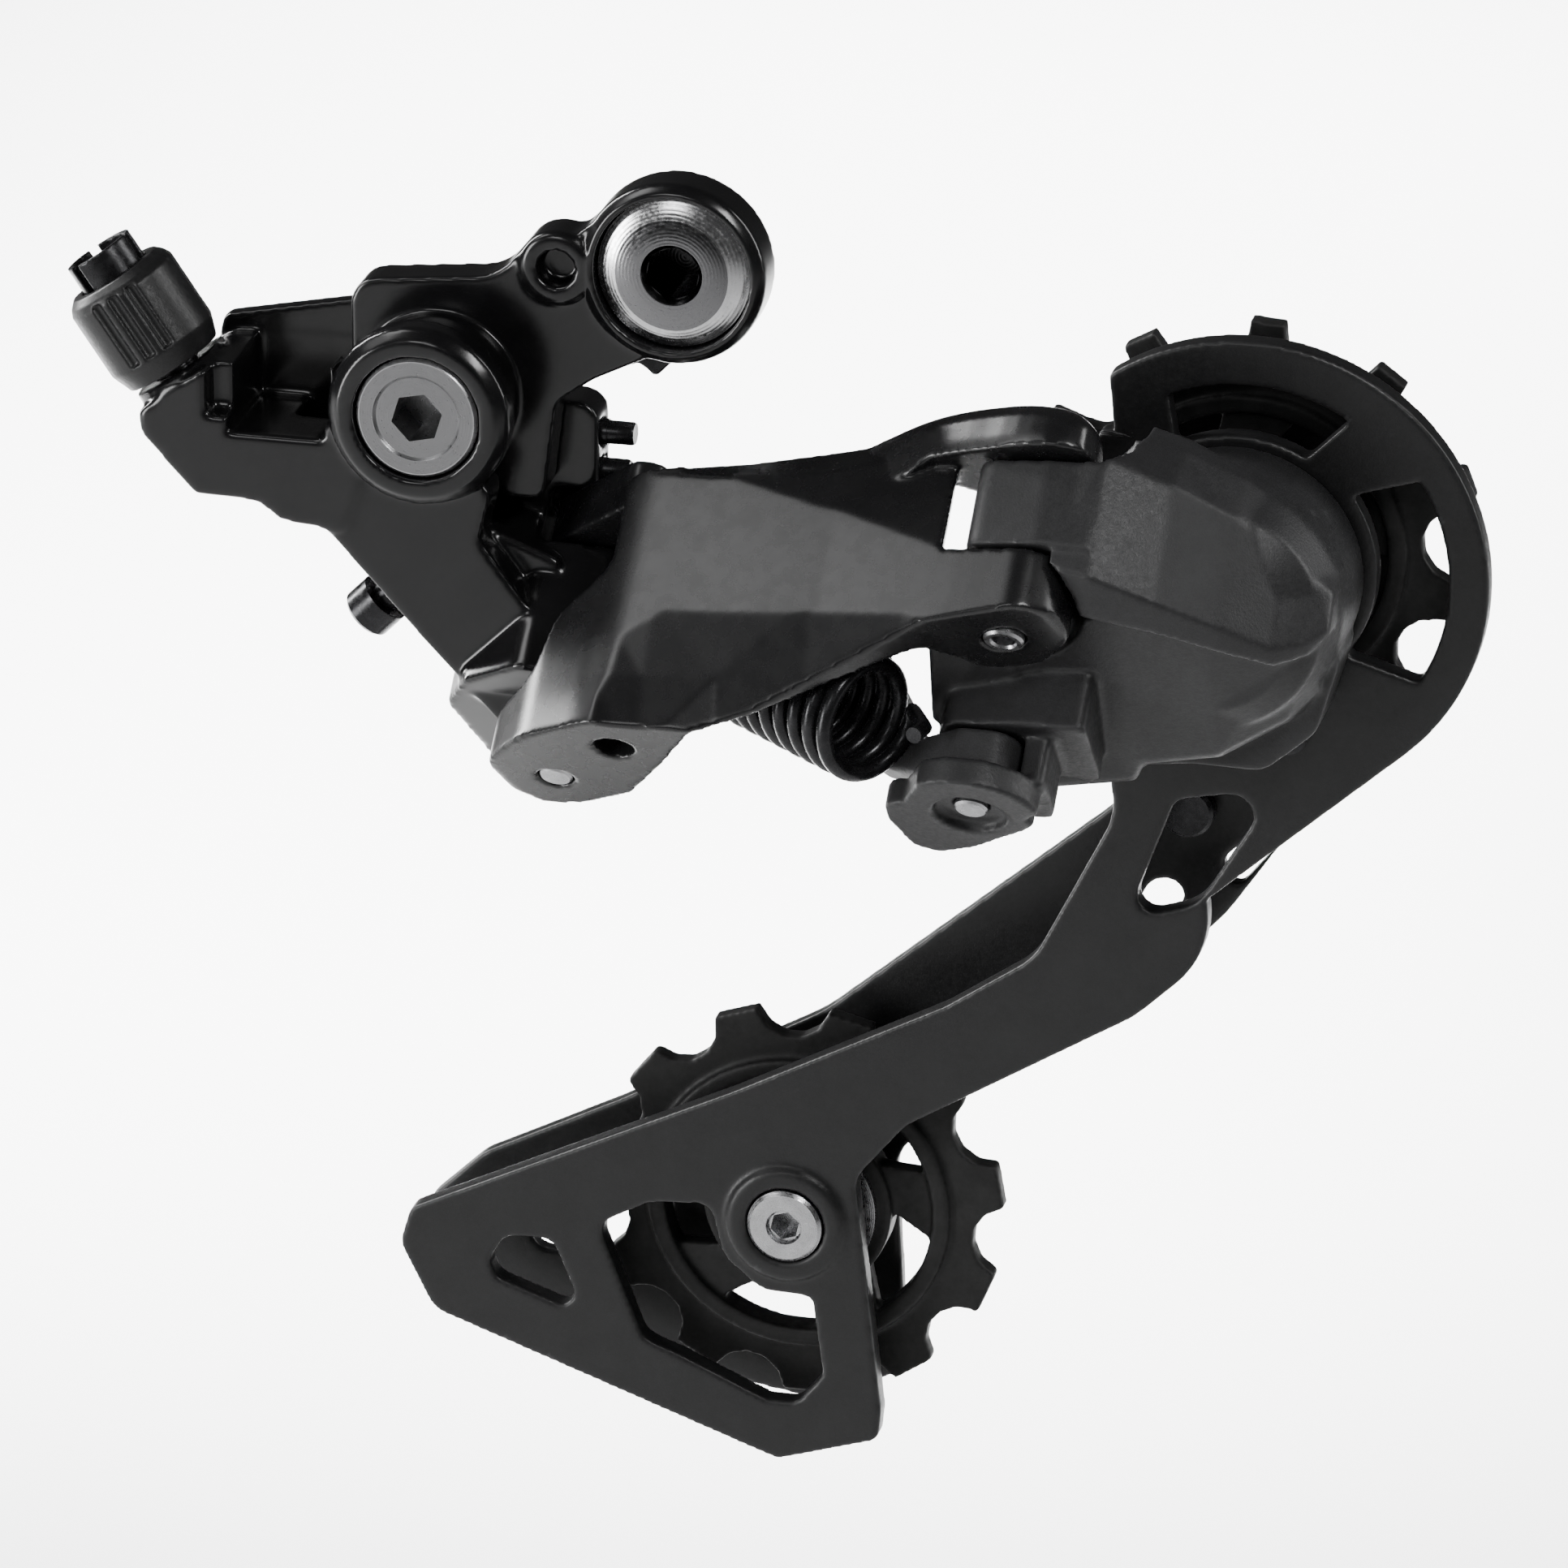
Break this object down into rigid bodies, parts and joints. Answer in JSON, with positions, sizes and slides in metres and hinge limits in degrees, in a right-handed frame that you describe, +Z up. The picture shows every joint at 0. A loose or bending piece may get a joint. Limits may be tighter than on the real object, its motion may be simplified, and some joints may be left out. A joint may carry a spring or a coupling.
{
  "type": "rear bicycle derailleur",
  "caption": "Rear bicycle derailleur: bracket arm, slanted parallelogram linkage, sprung cage between two plates with guide and tension pulleys, cable adjuster",
  "frame": {"origin": "on the mounting bolt's axis, in the plane of the stopper plate that seats on the frame's hanger", "axes": "+X to the front of the bicycle, +Y inboard towards the wheel along the mounting bolt, +Z up"},
  "size_m": [0.1559, 0.0548, 0.1555],
  "materials": {
    "gloss": "gloss black enamel",
    "cast": "fine matte dark grey",
    "satin": "satin black",
    "resin": "matte black resin",
    "silver": "turned bright metal",
    "steel": "plain steel",
    "black_steel": "blackened steel",
    "rubber": "black rubber",
    "bronze": "plain bearing bronze"
  },
  "bodies": {
    "bracket": {"bracket_link": "gloss", "stopper_plate": "black_steel", "bolt_retaining_ring": "black_steel", "b_axle_bolt": "silver", "b_pivot_spring": "black_steel"},
    "mount_bolt": {"mount_bolt": "silver"},
    "b_body": {"b_body": "gloss", "b_bushing": "bronze", "b_seal_ring": "rubber"},
    "barrel_adjuster": {"barrel_knob": "satin", "barrel_screw": "black_steel"},
    "b_tension_screw": {"b_tension_screw": "black_steel"},
    "low_limit_screw": {"low_limit_screw": "black_steel"},
    "high_limit_screw": {"high_limit_screw": "black_steel"},
    "outer_link": {"outer_link": "gloss", "outer_link_pin_b": "steel", "outer_link_pin_p": "steel", "return_spring": "black_steel"},
    "inner_link": {"inner_link": "cast", "inner_link_pin_b": "steel", "inner_link_pin_p": "steel", "cable_clamp_plate": "steel"},
    "cable_clamp_bolt": {"cable_clamp_bolt": "steel"},
    "p_body": {"p_body": "cast", "p_seal_ring": "rubber", "p_pivot_spring": "black_steel"},
    "cage": {"outer_cage_plate": "satin", "inner_cage_plate": "satin", "p_axle": "steel", "cage_stop_pin": "black_steel", "inner_plate_screw": "black_steel", "guide_pulley_bolt": "steel", "guide_bushing": "steel", "guide_cap_outer": "silver", "guide_cap_inner": "silver", "tension_pulley_bolt": "steel", "tension_bushing": "steel", "tension_cap_outer": "silver", "tension_cap_inner": "silver"},
    "guide_pulley": {"guide_pulley": "resin"},
    "tension_pulley": {"tension_pulley": "resin"}
  },
  "joints": [
    {"name": "mount_bolt_turn", "type": "hinge", "parent": "bracket", "child": "mount_bolt", "pos_m": [0, 0, 0], "axis": [0, 1, 0], "continuous": true},
    {"name": "b_pivot", "type": "hinge", "parent": "bracket", "child": "b_body", "pos_m": [-0.0262, 0, -0.0154], "axis": [0, 1, 0], "range_deg": [0, 25], "stiffness_Nm_per_rad": 0.8, "springref_deg": -34.38},
    {"name": "barrel_adjuster_turn", "type": "hinge", "parent": "b_body", "child": "barrel_adjuster", "pos_m": [-0.0546, -0.0087, -0.0158], "axis": [-0.5621, 0, 0.8271], "continuous": true},
    {"name": "b_tension_screw_turn", "type": "hinge", "parent": "b_body", "child": "b_tension_screw", "pos_m": [-0.0295, -0.005, -0.0373], "axis": [0.7021, 0, 0.7121], "continuous": true},
    {"name": "low_limit_screw_turn", "type": "hinge", "parent": "b_body", "child": "low_limit_screw", "pos_m": [-0.02, 0.0014, -0.0218], "axis": [1, 0, 0], "continuous": true},
    {"name": "high_limit_screw_turn", "type": "hinge", "parent": "b_body", "child": "high_limit_screw", "pos_m": [-0.02, 0.0014, -0.0262], "axis": [1, 0, 0], "continuous": true},
    {"name": "link_swing", "type": "hinge", "parent": "b_body", "child": "outer_link", "pos_m": [-0.00897, -0.01286, -0.04338], "axis": [0, 0.7431, 0.6691], "range_deg": [0, 58], "stiffness_Nm_per_rad": 0.6, "springref_deg": -34.38, "deforming": ["return_spring"]},
    {"name": "inner_link_swing", "type": "hinge", "parent": "b_body", "child": "inner_link", "pos_m": [-0.01247, -0.00282, -0.05452], "axis": [0, 0.7431, 0.6691], "range_deg": [0, 58]},
    {"name": "cable_clamp_bolt_turn", "type": "hinge", "parent": "inner_link", "child": "cable_clamp_bolt", "pos_m": [-0.00024, 0.00837, -0.03855], "axis": [-0.3371, -0.63, 0.6996], "continuous": true},
    {"name": "p_body_swing", "type": "hinge", "parent": "outer_link", "child": "p_body", "pos_m": [0.0413, -0.0249, -0.03], "axis": [0, 0.7431, 0.6691], "range_deg": [-58, 0]},
    {"name": "cage_swing", "type": "hinge", "parent": "p_body", "child": "cage", "pos_m": [0.0608, 0, -0.0317], "axis": [0, -1, 0], "range_deg": [0, 80], "stiffness_Nm_per_rad": 0.35, "springref_deg": -68.75},
    {"name": "guide_pulley_spin", "type": "hinge", "parent": "cage", "child": "guide_pulley", "pos_m": [0.0608, 0.0104, -0.0317], "axis": [0, 1, 0], "continuous": true},
    {"name": "tension_pulley_spin", "type": "hinge", "parent": "cage", "child": "tension_pulley", "pos_m": [0.0103, 0.0104, -0.1158], "axis": [0, 1, 0], "continuous": true}
  ],
  "couplings": [
    {"joint": "inner_link_swing", "follows": "link_swing", "ratio": 1},
    {"joint": "p_body_swing", "follows": "link_swing", "ratio": -1}
  ]
}
